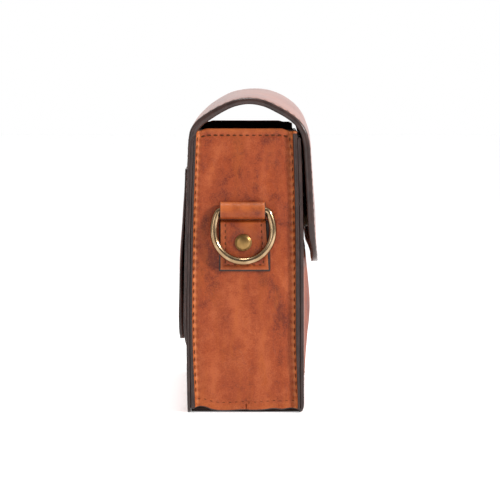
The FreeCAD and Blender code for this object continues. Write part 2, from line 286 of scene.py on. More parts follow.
def slab(name, outer, thickness, materials, out=1, roundness=0.6, hide=None, wear=None,
         mirrored=False, turned_head=False, joined=(False, False), normal=None):
    """Leather under a grid of points, with its edge rounded over. out is 1 where the grid's own
    normals point out of the leather and -1 where they point in. materials: face, back, edge.
    A turned head is a last row whose edge is folded under, so it shows the face and no paint.
    A first or last row that is joined to another slab's is cut off square, by a cap of its own
    points, so that the shading runs on over the join."""
    rows, cols, _ = outer.shape
    total = rows * cols
    normal = (normals_of(outer) if normal is None else normal) * out
    inner = outer - normal * np.broadcast_to(np.asarray(thickness, float), (rows, cols))[..., None]
    place = outer if hide is None else hide
    worn_and_lit = np.zeros((rows, cols)) if wear is None else wear

    r, c = border(rows, cols)
    r_in = np.clip(r, 0 if joined[0] else 1, rows - 1 if joined[1] else rows - 2)
    high, low = outer[r, c], inner[r, c]
    way = high - outer[r_in, np.clip(c, 1, cols - 2)]
    through = high - low
    way = way - through * (np.sum(way * through, axis=1) / np.sum(through**2, axis=1))[:, None]
    way = way / np.maximum(np.linalg.norm(way, axis=1, keepdims=True), 1e-9)
    half = np.linalg.norm(through, axis=1, keepdims=True) / 2
    half = half * np.broadcast_to(roundness, (rows, cols))[r, c][:, None]
    on_join = ((r == 0) & joined[0]) | ((r == rows - 1) & joined[1])
    cap = on_join & np.roll(on_join, -1) & (r == np.roll(r, -1))

    points = [outer.reshape(-1, 3), inner.reshape(-1, 3)]
    places = [place.reshape(-1, 3), place.reshape(-1, 3) + 400]
    wears_and_highlights = [worn_and_lit.ravel(), worn_and_lit.ravel() * 0]
    for k in range(1, EDGE_STEPS):
        turn = math.pi * k / EDGE_STEPS
        rim = (high + low) / 2 + math.cos(turn) * through / 2
        points.append(rim + math.sin(turn) * way * half)
        places.append(place[r, c] + [0, 0, 1.5 * k])
        wears_and_highlights.append(worn_and_lit[r, c] + 0.2)
    points, places, wears_and_highlights = np.concatenate(points), np.concatenate(places), np.concatenate(wears_and_highlights)

    faces = [grid_faces(rows, cols), grid_faces(rows, cols, total)[:, ::-1]]
    slots = [np.zeros(len(faces[0])), np.ones(len(faces[1]))]
    capped = [np.zeros(2 * len(faces[0]), bool)]
    rings = [r * cols + c]
    rings += [2 * total + k * len(r) + np.arange(len(r)) for k in range(EDGE_STEPS - 1)]
    rings.append(total + r * cols + c)
    for first, second in zip(rings, rings[1:]):
        between = band_faces(first, second)
        faces.append(between[:, [0, 3, 2, 1]])
        slots.append(np.where((r == rows - 1) & turned_head, 0, 2))
        capped.append(cap)
    faces, slots, capped = np.concatenate(faces), np.concatenate(slots), np.concatenate(capped)
    own, corner = np.unique(faces[capped], return_inverse=True)
    faces[capped] = len(points) + corner.reshape(-1, 4)
    if out < 0:
        faces = faces[:, ::-1]
    return build(name, np.concatenate([points, points[own]]), faces, materials, slots,
                 np.concatenate([places, places[own]]), np.concatenate([wears_and_highlights, wears_and_highlights[own]]), mirrored)


THREAD_RINGS = 7
THREAD_SIDES = 8


def stitches(name, starts, ends, up, radius=0.36, rise=0.35, sink=0.4, mirrored=False):
    """Thread arched from each start hole to its end hole, over leather whose normals are up."""
    across = np.cross(up, ends - starts)
    across = across / np.linalg.norm(across, axis=1, keepdims=True)
    t = np.linspace(0, 1, THREAD_RINGS)
    turn = np.linspace(0, 2 * math.pi, THREAD_SIDES, endpoint=False)
    width = radius * (1 - 0.75 * np.abs(2 * t - 1) ** 3)
    lift = rise * 4 * t * (1 - t) - sink
    line = starts[:, None] + (ends - starts)[:, None] * t[None, :, None]
    line = line + up[:, None] * lift[None, :, None]
    outward = (
        across[:, None, None] * np.cos(turn)[None, None, :, None]
        + up[:, None, None] * np.sin(turn)[None, None, :, None]
    )
    points = line[:, :, None] + outward * width[None, :, None, None]
    number = np.arange(len(starts))
    ring = np.arange(THREAD_SIDES)
    bands = [band_faces(k * THREAD_SIDES + ring, (k + 1) * THREAD_SIDES + ring)
             for k in range(THREAD_RINGS - 1)]
    first = number * THREAD_RINGS * THREAD_SIDES
    faces = (np.concatenate(bands)[None] + first[:, None, None]).reshape(-1, 4).tolist()
    for start in first:
        faces.append((ring[::-1] + start).tolist())
        faces.append((ring + start + (THREAD_RINGS - 1) * THREAD_SIDES).tolist())
    hide = points_of(t[None, :, None] * 4, turn[None, None], number[:, None, None])
    return build(name, points, faces, [THREAD], hide=hide, mirrored=mirrored)


def seam(name, surface, route, pitch=PITCH, fill=0.74, slant=0.25, mirrored=False, **thread):
    """A row of stitches along a route of (a, b) points on a surface."""
    route = np.asarray(route, float)
    run = run_of(surface(route[:, 0], route[:, 1]))
    count = max(1, int(run[-1] / pitch))
    pitch = run[-1] / count
    first = (np.arange(count) + (1 - fill) / 2) * pitch
    last = first + fill * pitch

    def at(distance):
        return np.interp(distance, run, route[:, 0]), np.interp(distance, run, route[:, 1])

    a, b = at((first + last) / 2)
    nearby = 0.3
    up = np.cross(surface(a + nearby, b) - surface(a - nearby, b),
                  surface(a, b + nearby) - surface(a, b - nearby))
    up = up / np.linalg.norm(up, axis=1, keepdims=True) * surface.out
    starts, ends = surface(*at(first)), surface(*at(last))
    side = np.cross(up, ends - starts)
    side = side / np.linalg.norm(side, axis=1, keepdims=True) * slant
    return stitches(name, starts - side, ends + side, up, mirrored=mirrored, **thread)


def facing(out):
    """Marks which way a surface's own normals point: 1 out of the leather, -1 into it."""
    def mark(surface):
        surface.out = out
        return surface
    return mark


# ======================= materials =======================

class Shader:
    """The nodes of a material or of the world."""

    def __init__(self, owner, main, values):
        owner.use_nodes = True
        self.owner = owner
        self.nodes, self.links = owner.node_tree.nodes, owner.node_tree.links
        self.main = self.nodes[main].inputs
        for key, value in values.items():
            self.put(value, self.main[key])

    def put(self, value, socket):
        """Links an output to a socket, or writes a number, a vector or a colour into it."""
        if isinstance(value, bpy.types.NodeSocket):
            self.links.new(value, socket)
        elif isinstance(value, tuple):
            socket.default_value = (*value, 1)[:len(socket.default_value)]
        else:
            socket.default_value = value

    def node(self, kind, values, **settings):
        """The outputs of a new node. values go into its sockets, by name or by number."""
        node = self.nodes.new("ShaderNode" + kind)
        for key, value in settings.items():
            setattr(node, key, value)
        for key, value in values.items():
            self.put(value, node.inputs[key])
        return node.outputs

    def hide(self, stretch=(1, 1, 1)):
        """Coordinates in millimetres over the leather as it was cut."""
        place = self.node("Attribute", {}, attribute_name="hide")["Vector"]
        return self.node("Mapping", {"Vector": place, "Scale": stretch})["Vector"]

    def solid(self):
        """Coordinates in millimetres through a solid piece."""
        place = self.node("TexCoord", {})["Object"]
        return self.node("Mapping", {"Vector": place, "Scale": (1 / MM,) * 3})["Vector"]

    def noise(self, place, size, detail, rough, warp=0.0):
        """Noise with blotches about this many millimetres across."""
        return self.node("TexNoise", {"Vector": place, "Scale": 1 / size, "Detail": detail,
                                      "Roughness": rough, "Distortion": warp})["Fac"]

    def maths(self, kind, *values):
        return self.node("Math", dict(enumerate(values)), operation=kind)[0]

    def times(self, first, second):
        return self.maths("MULTIPLY", first, second)

    def add(self, value, share, rest):
        """A share of a value on top of the rest."""
        return self.maths("MULTIPLY_ADD", value, share, rest)

    def between(self, value, low, high):
        """0 where a value is below low, rising to 1 where it is above high."""
        return self.node("MapRange", {"Value": value, "From Min": low, "From Max": high})["Result"]

    def mix(self, amount, first, second):
        """The first colour with this amount of the second in it."""
        return self.node("Mix", {0: amount, 6: first, 7: second}, data_type="RGBA")[2]

    def ramp(self, value, *stops):
        """A colour ramp: stops are (position, (r, g, b)) with linear colours."""
        outputs = self.node("ValToRGB", {"Fac": value})
        elements = outputs[0].node.color_ramp.elements
        outputs[0].node.color_ramp.interpolation = "EASE"
        while len(elements) < len(stops):
            elements.new(0.5)
        for element, (position, colour) in zip(elements, stops):
            element.position = position
            element.color = (*colour, 1)
        return outputs["Color"]

    def creases(self, place, size, width, warp):
        """Thin lines, 1 on a line and 0 away from it, where a noise crosses its middle."""
        middle = self.maths("SUBTRACT", self.noise(place, size, 2.5, 0.5, warp), 0.5)
        away = self.maths("DIVIDE", self.maths("ABSOLUTE", middle), width)
        return self.maths("SUBTRACT", 1.0, self.maths("MINIMUM", away, 1.0))

    def finish(self, colour, height, depth, roughness=None):
        """The material, with its colour, its bumps of this depth in mm and its roughness."""
        self.put(colour, self.main["Base Color"])
        if roughness is not None:
            self.put(roughness, self.main["Roughness"])
        bumps = self.node("Bump", {"Height": height, "Distance": depth * MM, "Strength": 1.0})
        self.put(bumps["Normal"], self.main["Normal"])
        return self.owner


def shader(name, rough, **values):
    """A new material's nodes, with the named sockets of its surface set."""
    named = {key.replace("_", " "): value for key, value in values.items()}
    return Shader(bpy.data.materials.new(name), "Principled BSDF", {"Roughness": rough, **named})


WARM_TAN = (0.34, 0.075, 0.008)


def pull_up_leather(name, colours, streak=(1, 1, 1), rough=0.44, wax=0.0, gloss=0.28):
    """Oiled hide: cloudy colour, streaks along one way, wrinkles with painted shade, fine grain, and
    worn edges with painted highlights.
    """
    dark, middle, light, bright = colours
    make = shader(name, rough, Specular_IOR_Level=gloss, Coat_Weight=wax, Coat_Roughness=0.3)
    plain, drawn = make.hide(), make.hide(streak)
    clouds = make.noise(drawn, 30, 3, 0.5, 0.9)
    mottle = make.noise(plain, 8.5, 5, 0.62, 0.4)
    bands = make.noise(make.hide((1, 0.16, 1)), 15, 3, 0.55, 0.3)
    grit = make.noise(plain, 1.0, 2, 0.5)
    tone = make.times(clouds, 0.38)
    for part, share in ((mottle, 0.26), (bands, 0.18), (grit, 0.18)):
        tone = make.add(part, share, tone)
    colour = make.ramp(tone, (0.41, dark), (0.5, middle), (0.61, light))
    warm = make.noise(make.hide((1, 0.2, 1)), 12, 5, 0.65, 0.4)
    colour = make.mix(make.times(make.between(warm, 0.5, 0.66), 0.34), colour, WARM_TAN)
    crackle = make.times(make.creases(plain, 3.4, 0.045, 1.0), make.times(clouds, 0.85))
    colour = make.mix(crackle, colour, light)

    patches = make.between(make.noise(plain, 22, 2, 0.5), 0.46, 0.6)
    wrinkles = make.times(make.creases(plain, 7.0, 0.03, 1.2), patches)
    scores = make.creases(drawn, 21.0, 0.008, 0.6)
    lines = make.maths("MAXIMUM", make.times(wrinkles, 0.55), make.times(scores, 0.35))
    # Darker colour along the wrinkles and scores: painted shade in the creases.
    colour = make.mix(make.times(lines, 0.38), colour, dark)

    # The wear attribute lightens towards the bright colour: wear at edges and folds, and painted
    # highlights on stitch puffs, the loop top and the lower lips.
    worn_and_lit = make.node("Attribute", {}, attribute_name="wear")["Fac"]
    amount = make.times(worn_and_lit, make.add(mottle, 1.2, 0.1))
    amount = make.maths("MINIMUM", make.maths("MAXIMUM", amount, 0.0), 1.0)
    pores = make.node("TexVoronoi", {"Vector": plain, "Scale": 1 / 0.85})["Distance"]
    height = make.maths("SUBTRACT", make.add(pores, 0.5, mottle), make.times(lines, 0.9))
    return make.finish(make.mix(amount, colour, bright), height, 0.22,
                       make.add(lines, 0.12, make.add(mottle, 0.22, rough - 0.11)))


def painted_edge(name, colour, wash):
    """Burnished, painted leather edges with faint layers and small dents."""
    make = shader(name, 0.34, Specular_IOR_Level=0.2, Coat_Weight=0.3, Coat_Roughness=0.2)
    place = make.hide()
    dents = make.noise(place, 2.4, 3, 0.6)
    tone = make.noise(place, 9, 4, 0.6)
    return make.finish(make.ramp(tone, (0.35, colour), (0.7, wash)), dents, 0.12,
                       make.add(dents, 0.3, 0.2))


def flesh_side(name, dark, light, gloss=0.5):
    """Plain leather with a short nap: the flap's lining, the backs of sheets and the base."""
    make = shader(name, 0.62, Specular_IOR_Level=gloss)
    place = make.hide()
    tone = make.noise(place, 12, 5, 0.65, 0.3)
    return make.finish(make.ramp(tone, (0.35, dark), (0.68, light)),
                       make.noise(place, 0.7, 3, 0.6), 0.14)


def woven_cloth(name, dark, light, thread=0.55):
    """Plain-weave lining: warp and weft crossing every thread."""
    make = shader(name, 0.85, Sheen_Weight=0.15, Sheen_Roughness=0.5)
    place = make.hide()
    parts = make.node("SeparateXYZ", {0: place})
    across, along = (make.maths("SINE", make.times(parts[k], math.pi / thread)) for k in range(2))
    weave = make.add(make.times(across, along), 0.5, 0.5)
    tone = make.add(make.noise(place, 14, 3, 0.6), 0.5, make.times(weave, 0.5))
    return make.finish(make.ramp(tone, (0.2, dark), (0.8, light)), weave, 0.12)


def waxed_thread(name, dark, light):
    """Twisted thread. Its hide place holds the distance along a stitch and the turn round it."""
    make = shader(name, 0.7, Specular_IOR_Level=0.1)
    place = make.node("Attribute", {}, attribute_name="hide")["Vector"]
    parts = make.node("SeparateXYZ", {0: place})
    strands = make.add(make.maths("SINE", make.add(parts[0], 7.0, parts[1])), 0.5, 0.5)
    return make.finish(make.ramp(strands, (0.1, dark), (0.9, light)), strands, 0.12)


def antique_brass(name, dark, light, rough=0.2):
    """Aged brass, browner in blotches, with fine scratches."""
    make = shader(name, rough, Metallic=1.0)
    place = make.solid()
    tone = make.noise(place, 7.0, 3, 0.5, 0.2)
    fine = make.noise(place, 0.8, 3, 0.6)
    return make.finish(make.ramp(tone, (0.34, dark), (0.66, light)), fine, 0.006,
                       make.add(fine, 0.12, rough - 0.06))


def grey_solid(name, dark, light, rough=0.6):
    make = shader(name, rough)
    tone = make.noise(make.solid(), 3.0, 4, 0.6)
    return make.finish(make.ramp(tone, (0.3, dark), (0.7, light)), tone, 0.1)


TANS = (
    (0.115, 0.014, 0.0030), (0.240, 0.0375, 0.0065), (0.345, 0.074, 0.020), (0.45, 0.13, 0.033)
)
# A darker copy of the tan leather: painted shade on the front pocket, which faces the key light.
SHADED_POCKET_TANS = (
    (0.100, 0.0125, 0.0030), (0.200, 0.0315, 0.0060), (0.290, 0.062, 0.017), (0.40, 0.115, 0.030)
)
TAB_TANS = (
    (0.11, 0.014, 0.003), (0.205, 0.032, 0.005), (0.29, 0.058, 0.010), (0.48, 0.13, 0.030)
)
LEATHER = pull_up_leather("leather", TANS, (1.0, 0.42, 1))
WAXED_LEATHER = pull_up_leather("waxed_leather", TANS, (0.5, 1.0, 1), 0.4, 0.8)
SHADED_POCKET_LEATHER = pull_up_leather("pocket_leather_painted_shade", SHADED_POCKET_TANS, (0.5, 1.0, 1), 0.52, 0.0, 0.2)
TAB_LEATHER = pull_up_leather("tab_leather", TAB_TANS, (1, 1, 1), 0.4)
EDGE = painted_edge("painted_edge", (0.020, 0.0100, 0.0084), (0.040, 0.020, 0.0165))
UNDERSIDE = flesh_side("flap_underside", (0.075, 0.026, 0.015), (0.16, 0.058, 0.034))
RAW_BACK = flesh_side("leather_back", (0.10, 0.045, 0.026), (0.19, 0.10, 0.06))
# Near-black base leather: painted shade for the recess under the side gussets' lower edges.
SHADED_BASE_LEATHER = flesh_side("base_leather_painted_shade", (0.008, 0.003, 0.002), (0.020, 0.008, 0.005), 0.15)
CLOTH = woven_cloth("lining_cloth", (0.036, 0.026, 0.021), (0.085, 0.066, 0.055))
THREAD = waxed_thread("thread", (0.040, 0.011, 0.004), (0.105, 0.032, 0.010))
BRASS = antique_brass("antique_brass", (0.30, 0.195, 0.105), (0.42, 0.29, 0.17))
CAP_BRASS = antique_brass("rivet_brass", (0.25, 0.145, 0.05), (0.34, 0.21, 0.08), 0.36)
# Darkened brass: painted shade on the snaps that show in the gap under the flap.
SHADED_SNAP_BRASS = antique_brass("snap_brass_painted_shade", (0.035, 0.024, 0.014), (0.10, 0.065, 0.03), 0.35)
MAGNET = grey_solid("magnet_ferrite", (0.02, 0.02, 0.022), (0.05, 0.05, 0.055))
BOARD = grey_solid("base_board", (0.012, 0.012, 0.012), (0.03, 0.03, 0.03), 0.8)
FACE_BACK_EDGE = [LEATHER, RAW_BACK, EDGE]


# ======================= panels of the body =======================

def plate_grid(half, low, high, corner, coarse=2.6, fine=0.9):
    """x and z over an upright plate whose two lower corners are round."""
    x = steps(-half, half, coarse, fine, [-half + SEAM_INSET, half - SEAM_INSET])
    z = steps(low, high, coarse, fine, [low + SEAM_INSET, high - SEAM_INSET])
    drop = np.clip(corner - (z - low), 0, corner)
    reach = half - corner + np.sqrt(corner**2 - drop**2)
    return (x / half)[None] * reach[:, None], np.broadcast_to(z[:, None], (len(z), len(x)))


def from_edges(x, z, half, low, high):
    """How far inside the plate's edges a point is."""
    return np.minimum(half - np.abs(x), np.minimum(z - low, high - z))


def round_route(half, low, high, corner, closed=True):
    """A route of (x, z) points down one side of a plate, round its lower corners and up."""
    side, foot, head = half - SEAM_INSET, low + SEAM_INSET, high - SEAM_INSET
    radius = corner - SEAM_INSET
    left = [(-side + radius - radius * math.cos(t), foot + radius - radius * math.sin(t))
            for t in np.linspace(0, math.pi / 2, 9)]
    route = [(-side, head)] + left + [(-x, z) for x, z in left[::-1]] + [(side, head)]
    return fill_in(route + [(-side, head)] if closed else route)


def add_plate(name, surface, plate, thickness, shift, route=None, materials=FACE_BACK_EDGE,
              **thread):
    """A leather for one CAD node, with a row of stitches just inside its edges.
    plate: half its length, its lowest and highest z, and the radius of its lower corners.
    shift is how far along the hide it was cut."""
    x, z = plate_grid(*plate)
    inside = from_edges(x, z, *plate[:3])
    sheet = slab(name + "_leather", surface(x, z), thickness(x, z, inside), materials, surface.out,
                 hide=points_of(x + shift, z, 0), wear=0.5 * groove(inside, 4))
    route = round_route(*plate) if route is None else route
    keep([sheet, seam(name + "_thread", surface, route, **thread)], "bag", "leather", name)


def edge_fill(x):
    """Extra thickness at a panel's ends, where the lining stops and the paint fills its place."""
    return (LINING - 0.05) * ease((np.abs(x) - (HALF - LINING_INSET)) / 1.5)


POCKET_BED = 0.85            # how deep the front pocket's place is pressed into the panel
LINING_INSET = 6.5           # from a panel's ends to its lining
PANEL_PLATE = (HALF, 0, PANEL_TOP, PANEL_CORNER)


def add_front_panel():
    @facing(1)
    def surface(x, z):
        inside = from_edges(x, z, HALF, 0, PANEL_TOP)
        y = -FACE + SEAM_DIP * groove(inside - SEAM_INSET)
        y = y + 0.35 * swell(x, z, 60, 3) * ease(inside / 20)
        low, high = FRONT_POCKET
        under = from_edges(x, z, high[0], low[2], high[2])
        return stand(points_of(x, y + POCKET_BED * ease((under + 3) / 3), z), FRONT_BELLY)

    add_plate("front_panel", surface, PANEL_PLATE, lambda x, z, inside: PANEL + edge_fill(x), 0)


def add_back_panel():
    @facing(-1)
    def surface(x, z):
        return stand(points_of(x, FACE, z), BACK_BELLY)

    add_plate("back_panel", surface, PANEL_PLATE, lambda x, z, inside: BACK_PANEL + edge_fill(x),
              700, round_route(HALF, 0, LAYER_BOTTOM, PANEL_CORNER, closed=False),
              radius=0.22, rise=0.12, sink=0.3)


def add_cloth(name, node, points, hide, out=1, thickness=LINING, **more):
    cloth = slab(name, points, thickness, [CLOTH] * 3, out, hide=points_of(*hide, 0), **more)
    keep([cloth], "bag", "lining_cloth", node)


def add_linings():
    """Lining cloth on the panels and gussets, the floor and the divider."""
    x, z = plate_grid(HALF - LINING_INSET, 2.5, PANEL_TOP - 0.4, PANEL_CORNER, 4, 2)
    wave = 0.12 * swell(x, z, 25, 5)
    for name, y, out, belly in (
        ("front_lining", -FACE + PANEL + LINING, -1, FRONT_BELLY),
        ("back_lining", FACE - BACK_PANEL - LINING, 1, BACK_BELLY),
    ):
        points = stand(points_of(x, y + wave * out, z), belly)
        add_cloth(name + "_cloth", name, points, (x, z), out)

    low, high = box_mm("gusset_lining_right")
    z, y = over(np.linspace(low[2], high[2] - 0.6, 70),
                np.linspace(FRONT_INSIDE + 0.2, BACK_INSIDE - 0.2, 30))
    points = stand(points_of(low[0] - 0.1 + 0.25 * swell(y, z, 20, 6), y, z))
    for end, sign in ENDS.items():
        add_cloth("gusset_lining_cloth_" + end, "gusset_lining_" + end, points, (y, z), -1,
                  mirrored=sign < 0)

    low, high = box_mm("bottom_lining")
    y, x = over(np.linspace(low[1], high[1], 30) - MIDDLE_Y, np.linspace(low[0], high[0], 120))
    points = points_of(x, y, high[2] + 0.25 * swell(x, y, 40, 9))
    add_cloth("bottom_lining_cloth", "bottom_lining", points, (x, y))

    low, high = box_mm("divider")
    z, x = over(np.linspace(low[2], high[2] - 1, 60), np.linspace(low[0], high[0], 150))
    bow = 0.8 * swell(x, z, 120, 12) * ease((high[0] - np.abs(x)) / 40)
    add_cloth("divider_cloth", "divider", points_of(x, low[1] - MIDDLE_Y + bow, z), (x, z),
              thickness=high[1] - low[1], roundness=1.0)


# ======================= gussets =======================

FOLD = 3.2                   # radius where a side gusset turns out to its flange
SIDE_SEAM = 2.2              # from the flange's inner face to the pucker of its stitches
TOP_SEAM = 4.5               # from the gusset's top edge to its hem stitches
HEM_PITCH = 4.6
FOOT_WAVE = smooth_line([
    (-40, 2.4), (-32, 3.6), (-26, 2.9), (-20, 3.3), (-12, 2.4), (-4, 2.1), (4, 2.4), (12, 1.9),
    (20, 1.9), (26, 2.8), (30, 4.3), (34, 4.8), (40, 3.2),
], 0.5)                      # the side gusset's lower edge, as (y, z)


def side_line():
    """Section of a side gusset's outer face, as (y, x): in from one flange, across and out."""
    turns = np.linspace(0, math.pi / 2, 12)
    half = [(FRONT_INSIDE, HALF - SIDE)]
    half += [(FRONT_INSIDE + FOLD - FOLD * math.cos(t), FOLD - FOLD * math.sin(t)) for t in turns]
    return np.array(half + [(FRONT_INSIDE + BACK_INSIDE - y, x) for y, x in half[::-1]])


SIDE_LINE = side_line()
SIDE_RUN = run_of(SIDE_LINE)


def from_flanges(y):
    """How far a gusset's point is from the inner face of the nearer flange."""
    return np.minimum(y - FRONT_INSIDE, BACK_INSIDE - y)


def front_fullness(z):
    """How much further in than at its foot the gusset's front fold lies."""
    return 1.5 * ease(z / 60)


def back_fullness(z):
    """How much further in than higher up the gusset's back fold lies near its foot."""
    return 1.3 * ease((70 - z) / 70)


@facing(1)
def side_surface(a, b):
    """A side gusset's outer face: a along its section and b up it."""
    y, out = (np.interp(a, SIDE_RUN, SIDE_LINE[:, k]) for k in range(2))
    from_side = from_flanges(y)
    flat = ease((from_side - 1) / 7)
    foot = np.interp(y, FOOT_WAVE[:, 0], FOOT_WAVE[:, 1])
    head = GUSSET_TOP - 2.2 * ease((9 - from_side) / 9)
    z = foot + (head - foot) * (b / GUSSET_TOP)
    x = 0.9 * np.sin(np.pi * np.clip(from_side / 75, 0, 1)) * np.sin(np.pi * z / GUSSET_TOP)
    x = x + 0.42 * swell(y, z * 0.5, 26, 21) * flat + 0.10 * swell(y, z * 0.25, 7, 22) * flat
    pucker = 0.55 + 0.45 * np.cos(2 * math.pi * z / PITCH)
    x = x - 0.55 * groove(from_side - SIDE_SEAM, 1.3) * pucker
    hem = 0.6 + 0.4 * np.cos(2 * math.pi * y / HEM_PITCH)
    x = x - 0.4 * groove(z - (GUSSET_TOP - TOP_SEAM), 1.0) * hem * flat
    lip = np.clip(1 - z / 9, 0, 1) ** 2
    x = x + lip * flat * (1.5 + 0.8 * swell(y, z, 22, 23))
    x = x - 1.6 * groove(y - 0.6, 0.35) * ease((7.0 - z) / 1.5)      # a slit in the lower edge
    share = (y - FRONT_INSIDE) / (BACK_INSIDE - FRONT_INSIDE)
    y = y + front_fullness(z) * (1 - share) - back_fullness(z) * share
    return stand(points_of(SIDE + out + x, y, z))


def gusset_seams():
    """The rows of a side gusset: name, route of (a, b), pitch, fill, slant, radius and sink."""
    heights = np.arange(10, GUSSET_TOP - 2, 2.0)
    front = points_of(3.1 + 1.8 * ease((heights - 188) / 12), heights)
    back = points_of(SIDE_RUN[-1] - 3.1, heights)
    first, last = SIDE_RUN[[14, -14]]
    hem = points_of(np.linspace(first, last, 60), GUSSET_TOP - TOP_SEAM)
    foot = points_of(np.linspace(first + 2, last - 2, 60), 5.5)
    return [
        ("front", front, PITCH, 0.74, 0.25, 0.5, 0.4), ("back", back, PITCH, 0.74, 0.25, 0.5, 0.4),
        ("hem", hem, HEM_PITCH, 0.78, 0.12, 0.6, 0.4), ("foot", foot, HEM_PITCH, 0.6, 0.1, 0.22, 0.32),
    ]


def add_side_gussets():
    end_run = SIDE_RUN[-1]
    b, a = over(steps(0, GUSSET_TOP, 0.95, 0.45, [3, GUSSET_TOP - TOP_SEAM], reach=3.0),
                steps(0, end_run, 0.95, 0.42, [3.4, end_run - 3.4, end_run / 2 + 0.6], reach=3.2))
    points = side_surface(a, b)
    y = np.interp(a, SIDE_RUN, SIDE_LINE[:, 0])
    # Lighter along each flange's stitches, most on the puffs between them: edge wear with painted
    # highlights on the puffs. Lighter at the top edge, and at the foot as a painted highlight on the
    # flared lip.
    puffed = 0.5 - 0.5 * np.cos(2 * math.pi * points[..., 2] / PITCH)
    wear = groove(from_flanges(y) - 1.4, 1.9) * (0.35 + 0.85 * puffed)
    wear = wear + 0.4 * groove(b - GUSSET_TOP, 3) + 0.3 * groove(b, 5)
    thickness = GUSSET + front_fullness(b) * ease((2.2 - (y - FRONT_INSIDE)) / 2.2)
    thickness = thickness + back_fullness(b) * ease((2.2 - (BACK_INSIDE - y)) / 2.2)
    for end, sign in ENDS.items():
        shell = slab("gusset_leather_" + end, points, thickness, FACE_BACK_EDGE,
                     hide=points_of(y + 60 * sign, points[..., 2], 0), wear=wear,
                     mirrored=sign < 0, turned_head=True)
        keep([shell], "bag", "leather", "gusset_" + end)
        for name, route, pitch, fill, slant, radius, sink in gusset_seams():
            thread = seam(f"gusset_{name}_thread_{end}", side_surface, route, pitch, fill, slant,
                          radius=radius, sink=sink, mirrored=sign < 0)
            keep([thread], "bag", "leather")


def add_bottom_gusset():
    """The sagging base, whose ends turn up behind the side gussets."""
    high = box_mm("gusset_bottom")[1]
    turns = np.linspace(0, math.pi / 2, 8)
    right = [(high[0], high[2] - 0.3), (high[0], 10.0)]
    right += [(high[0] - 3 + 3 * math.cos(t), 3.4 - 3 * math.sin(t)) for t in turns]
    sag = [(200, 0.4), (100, 0.35), (-100, 0.35), (-200, 0.4)]
    line = fill_in(right + sag + [(-x, z) for x, z in right[::-1]])
    y, along = over(np.linspace(FRONT_INSIDE - GUSSET + 0.1, BACK_INSIDE + GUSSET - 0.1, 44),
                    np.arange(len(line)))
    x, z = line[along, 0], line[along, 1]
    z = z + 0.15 * swell(x, y, 60, 31) * ease((3 - z) / 2)
    # The base takes the near-black leather: painted shade in the recess under the side gussets' lower
    # edges.
    shell = slab("gusset_bottom_leather", points_of(x, y, z), GUSSET, [SHADED_BASE_LEATHER, RAW_BACK, EDGE],
                 hide=points_of(x, y + 300, 0))
    keep([shell], "bag", "leather", "gusset_bottom")


# ======================= flap =======================

FLAP_STEP = 1.7
EDGE_LINE = smooth_line(FLAP_AT_ENDS, FLAP_STEP)
FLAP_RUN = run_of(EDGE_LINE)
FLAP_TIP_RUN = FLAP_RUN[-1]
PANEL_TOP_RUN = FLAP_RUN[np.argmax(EDGE_LINE[:, 1] > PANEL_TOP)]


def share_at(line, knots):
    """How far along the line each given point lies, as a share of its length."""
    run = run_of(line) / run_of(line)[-1]
    return run[[np.argmin(np.sum((line - knot) ** 2, axis=1)) for knot in np.array(knots)]]


def matched_line():
    """The middle's profile, with a point for each of the end's."""
    fine_ends, fine_middle = smooth_line(FLAP_AT_ENDS, 0.4), smooth_line(FLAP_AT_MIDDLE, 0.4)
    share = np.interp(FLAP_RUN / FLAP_TIP_RUN, share_at(fine_ends, FLAP_AT_ENDS),
                      share_at(fine_middle, FLAP_AT_MIDDLE))
    run = run_of(fine_middle) / run_of(fine_middle)[-1]
    return points_of(*(np.interp(share, run, fine_middle[:, k]) for k in range(2)))


MIDDLE_LINE = matched_line()


@facing(-1)
def flap_surface(x, s):
    """The flap's outer surface: x along the bag, s up the back, over the top and down the front."""
    share = np.clip(1 - (x / FLAP_HALF) ** 2, 0, 1) ** 0.85
    at_end = [np.interp(s, FLAP_RUN, EDGE_LINE[:, k]) for k in range(2)]
    at_middle = [np.interp(s, FLAP_RUN, MIDDLE_LINE[:, k]) for k in range(2)]
    return points_of(x, *(end + (middle - end) * share for end, middle in zip(at_end, at_middle)))


def flap_half(s):
    """Half the flap's length at s, less at its rounded front corners."""
    drop = np.clip(s - (FLAP_TIP_RUN - FLAP_CORNER), 0, FLAP_CORNER)
    return FLAP_HALF - FLAP_CORNER + np.sqrt(FLAP_CORNER**2 - drop**2)


def place_on_flap(y):
    """s where the flap passes y on its way forward over the top."""
    top = np.where(EDGE_LINE[:, 1] > PANEL_TOP)[0]
    return FLAP_RUN[top[np.argmax(EDGE_LINE[top, 0] < y)]]


# Each stretch: where it starts and ends, the bodies it bends between, and the two lines, as (y, z),
# between which it bends.
REAR_SPLIT = place_on_flap(24.0)
CROWN_SPLIT = place_on_flap(-27.1)
STRETCHES = {
    "rear": (0, REAR_SPLIT, "bag", "flap_rear", (41.5, 203.0), (27.0, 221.0)),
    "crown": (REAR_SPLIT, CROWN_SPLIT, "flap_rear", "flap_crown", (21.9, 222.1), (-18.2, 239.3)),
    "front": (CROWN_SPLIT, FLAP_TIP_RUN, "flap_crown", "flap_front", (-29.2, 220.5), (-66.2, 210.3)),
}
FLAP_NODES = {
    "rear": ["flap_back_layer", "flap_root_lining", "flap_rear_outer", "flap_rear_lining"],
    "crown": ["flap_crown_outer", "flap_crown_lining"],
    "front": ["flap_front_outer", "flap_front_lining"],
}


def bend(piece, name):
    """Bakes the piece's place into its mesh. The fold's two places are worked out but not used: the
    piece does not bend.
    """
    _, _, first, second, start, end = STRETCHES[name]
    places = [(0, (y + MIDDLE_Y) * MM, z * MM) for y, z in (start, end)]
    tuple(places[0])
    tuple(places[1])
    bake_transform(piece)


